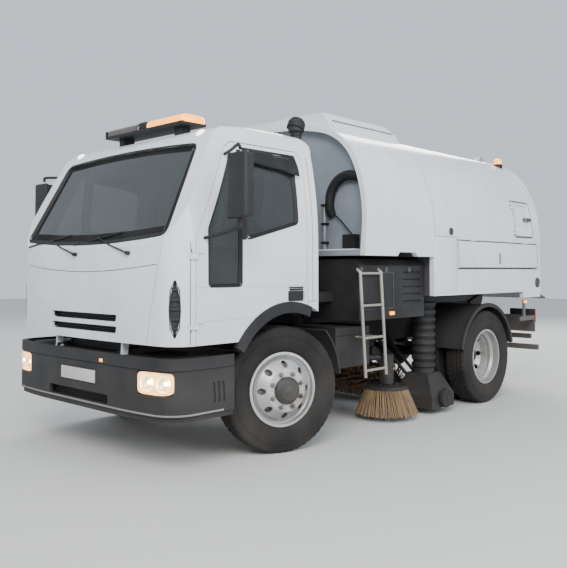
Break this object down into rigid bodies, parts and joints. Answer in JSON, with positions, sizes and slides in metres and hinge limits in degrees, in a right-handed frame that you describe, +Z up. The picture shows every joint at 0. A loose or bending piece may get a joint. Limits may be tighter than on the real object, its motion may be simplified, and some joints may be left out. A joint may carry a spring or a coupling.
{
  "type": "street sweeper truck",
  "caption": "Two-axle street sweeper truck with a tilting cab, tipping round-backed hopper, side brushes, suction nozzles and a rear hose boom.",
  "frame": {"origin": "centre of the bounding box on the ground", "axes": "+X forward along the truck, +Y to its left, +Z up"},
  "size_m": [5.915, 2.99, 2.985],
  "materials": {
    "white_paint": "gloss",
    "black_steel": "satin",
    "grey_metal": "satin",
    "silver_wheel": "satin",
    "rubber": "matt",
    "glass": "gloss",
    "black_plastic": "satin",
    "lamp": "gloss",
    "amber": "gloss",
    "bristle": "matt",
    "sign_blue": "satin",
    "interior": "matt",
    "tail_grey": "satin",
    "plate": "satin"
  },
  "bodies": {
    "chassis": {"chassis_frame": "black_steel", "front_axle_beam": "black_steel", "rear_axle_housing": "black_steel", "leaf_springs": "black_steel", "engine_and_driveline": "grey_metal", "frame_side_boxes": "black_steel", "front_bumper": "white_paint", "road_lamps": "lamp", "number_plates": "plate", "mudguards": "black_plastic", "under_run_bumper": "black_steel", "aux_engine_cowl": "black_steel", "access_ladder": "grey_metal", "air_intake": "black_plastic", "suction_gear": "rubber"},
    "cab": {"cab_shell": "white_paint", "cab_glass": "glass", "cab_interior": "interior", "roof_light_bar": "amber", "front_wings": "black_plastic"},
    "door_left": {"door_left": "white_paint", "door_glass_left": "glass", "mirror_left": "black_plastic"},
    "door_right": {"door_right": "white_paint", "door_glass_right": "glass", "mirror_right": "black_plastic"},
    "steering_left": {"knuckle_left": "black_steel"},
    "steering_right": {"knuckle_right": "black_steel"},
    "track_rod": {"track_rod": "black_steel"},
    "wheel_front_left": {"tyre_front_left": "rubber", "rim_front_left": "silver_wheel"},
    "wheel_front_right": {"tyre_front_right": "rubber", "rim_front_right": "silver_wheel"},
    "wheels_rear_left": {"tyres_rear_left": "rubber", "rims_rear_left": "silver_wheel"},
    "wheels_rear_right": {"tyres_rear_right": "rubber", "rims_rear_right": "silver_wheel"},
    "hopper": {"hopper_shell": "white_paint", "hopper_floor": "white_paint", "locker_liner_left": "white_paint", "locker_liner_right": "white_paint", "roof_cowl": "white_paint", "hopper_beacons": "amber"},
    "locker_left": {"locker_lid_left": "white_paint"},
    "locker_right": {"locker_lid_right": "white_paint"},
    "hatch_left": {"hatch_left": "white_paint"},
    "hatch_right": {"hatch_right": "white_paint"},
    "tail_door": {"tail_door": "tail_grey"},
    "boom": {"hose_boom": "rubber", "road_sign": "sign_blue"},
    "ram_barrel": {"tip_ram_barrel": "grey_metal"},
    "ram_rod": {"tip_ram_rod": "grey_metal"},
    "brush_arm_left": {"brush_arm_left": "black_steel"},
    "brush_arm_right": {"brush_arm_right": "black_steel"},
    "side_brush_left": {"side_brush_left": "bristle"},
    "side_brush_right": {"side_brush_right": "bristle"},
    "wide_brush_frame": {"wide_brush_frame": "black_steel"},
    "wide_brush": {"wide_brush": "bristle"},
    "nozzle_wheel_left": {"nozzle_wheel_left": "rubber"},
    "nozzle_wheel_right": {"nozzle_wheel_right": "rubber"}
  },
  "joints": [
    {"name": "steer_left", "type": "hinge", "parent": "chassis", "child": "steering_left", "pos_m": [1.7175, 0.93, 0.505], "axis": [0, 0, 1], "range_deg": [-28, 62]},
    {"name": "steer_right", "type": "hinge", "parent": "chassis", "child": "steering_right", "pos_m": [1.7175, -0.93, 0.505], "axis": [0, 0, 1], "range_deg": [-28, 62]},
    {"name": "track_rod_pin", "type": "hinge", "parent": "steering_left", "child": "track_rod", "pos_m": [1.52624, 0.98847, 0.39], "axis": [0, 0, 1], "range_deg": [-62, 28]},
    {"name": "wheel_front_left_spin", "type": "hinge", "parent": "steering_left", "child": "wheel_front_left", "pos_m": [1.7175, 0.93, 0.505], "axis": [0.2924, 0.9563, 0], "continuous": true},
    {"name": "wheel_front_right_spin", "type": "hinge", "parent": "steering_right", "child": "wheel_front_right", "pos_m": [1.7175, -0.93, 0.505], "axis": [0.2924, 0.9563, 0], "continuous": true},
    {"name": "wheels_rear_left_spin", "type": "hinge", "parent": "chassis", "child": "wheels_rear_left", "pos_m": [-1.3875, 0, 0.505], "axis": [0, 1, 0], "continuous": true},
    {"name": "wheels_rear_right_spin", "type": "hinge", "parent": "chassis", "child": "wheels_rear_right", "pos_m": [-1.3875, 0, 0.505], "axis": [0, 1, 0], "continuous": true},
    {"name": "cab_tilt", "type": "hinge", "parent": "chassis", "child": "cab", "pos_m": [2.8475, 0, 0.82], "axis": [0, 1, 0], "range_deg": [0, 50]},
    {"name": "door_left_hinge", "type": "hinge", "parent": "cab", "child": "door_left", "pos_m": [2.6905, 1.147, 1.3], "axis": [0, 0, -1], "range_deg": [0, 70]},
    {"name": "door_right_hinge", "type": "hinge", "parent": "cab", "child": "door_right", "pos_m": [2.6905, -1.147, 1.3], "axis": [0, 0, 1], "range_deg": [0, 70]},
    {"name": "hopper_tip", "type": "hinge", "parent": "chassis", "child": "hopper", "pos_m": [-2.6825, 0, 1.12], "axis": [0, -1, 0], "range_deg": [0, 50]},
    {"name": "ram_turn", "type": "hinge", "parent": "chassis", "child": "ram_barrel", "pos_m": [-2.3505, 0, 0.96], "axis": [0, -1, 0], "range_deg": [0, 57]},
    {"name": "ram_slide", "type": "slide", "parent": "ram_barrel", "child": "ram_rod", "axis": [0.9883, 0, 0.1523], "range_m": [0, 0.28]},
    {"name": "locker_lid_left_hinge", "type": "hinge", "parent": "hopper", "child": "locker_left", "pos_m": [-1.656, 1.249, 1.776], "axis": [1, 0, 0], "range_deg": [0, 90]},
    {"name": "locker_lid_right_hinge", "type": "hinge", "parent": "hopper", "child": "locker_right", "pos_m": [-1.656, -1.249, 1.776], "axis": [-1, 0, 0], "range_deg": [0, 90]},
    {"name": "hatch_left_hinge", "type": "hinge", "parent": "hopper", "child": "hatch_left", "pos_m": [-2.0175, 1.274, 1.85], "axis": [0, 0.1781, -0.984], "range_deg": [0, 100]},
    {"name": "hatch_right_hinge", "type": "hinge", "parent": "hopper", "child": "hatch_right", "pos_m": [-2.0175, -1.274, 1.85], "axis": [0, 0.1781, 0.984], "range_deg": [0, 100]},
    {"name": "tail_door_hinge", "type": "hinge", "parent": "hopper", "child": "tail_door", "pos_m": [-2.7225, 0, 2.925], "axis": [0, 1, 0], "range_deg": [0, 80]},
    {"name": "boom_swing", "type": "hinge", "parent": "tail_door", "child": "boom", "pos_m": [-2.8325, 0, 2.14], "axis": [0, 0, 1], "range_deg": [0, 95]},
    {"name": "brush_arm_left_swing", "type": "hinge", "parent": "chassis", "child": "brush_arm_left", "pos_m": [0.46743, 0.56, 0.7], "axis": [0, 0, -1], "range_deg": [-8, 25]},
    {"name": "brush_arm_right_swing", "type": "hinge", "parent": "chassis", "child": "brush_arm_right", "pos_m": [0.46743, -0.56, 0.7], "axis": [0, 0, 1], "range_deg": [-8, 25]},
    {"name": "side_brush_left_spin", "type": "hinge", "parent": "brush_arm_left", "child": "side_brush_left", "pos_m": [0.0675, 0.9, 0.33], "axis": [0, 0, 1], "continuous": true},
    {"name": "side_brush_right_spin", "type": "hinge", "parent": "brush_arm_right", "child": "side_brush_right", "pos_m": [0.0675, -0.9, 0.33], "axis": [0, 0, 1], "continuous": true},
    {"name": "wide_brush_lift", "type": "hinge", "parent": "chassis", "child": "wide_brush_frame", "pos_m": [-0.08247, 0, 0.64], "axis": [0, 1, 0], "range_deg": [-4, 7]},
    {"name": "wide_brush_spin", "type": "hinge", "parent": "wide_brush_frame", "child": "wide_brush", "pos_m": [-0.53238, 0, 0.25], "axis": [0, 1, 0], "continuous": true},
    {"name": "nozzle_wheel_left_spin", "type": "hinge", "parent": "chassis", "child": "nozzle_wheel_left", "pos_m": [-0.52245, 1.212, 0.16], "axis": [0, 1, 0], "continuous": true},
    {"name": "nozzle_wheel_right_spin", "type": "hinge", "parent": "chassis", "child": "nozzle_wheel_right", "pos_m": [-0.52245, -1.212, 0.16], "axis": [0, 1, 0], "continuous": true}
  ],
  "couplings": [
    {"joint": "steer_right", "follows": "steer_left", "ratio": 1},
    {"joint": "track_rod_pin", "follows": "steer_left", "ratio": -1},
    {"joint": "ram_turn", "follows": "hopper_tip", "ratio": 1.1248},
    {"joint": "ram_slide", "follows": "hopper_tip", "m_per_rad": 0.3182}
  ]
}
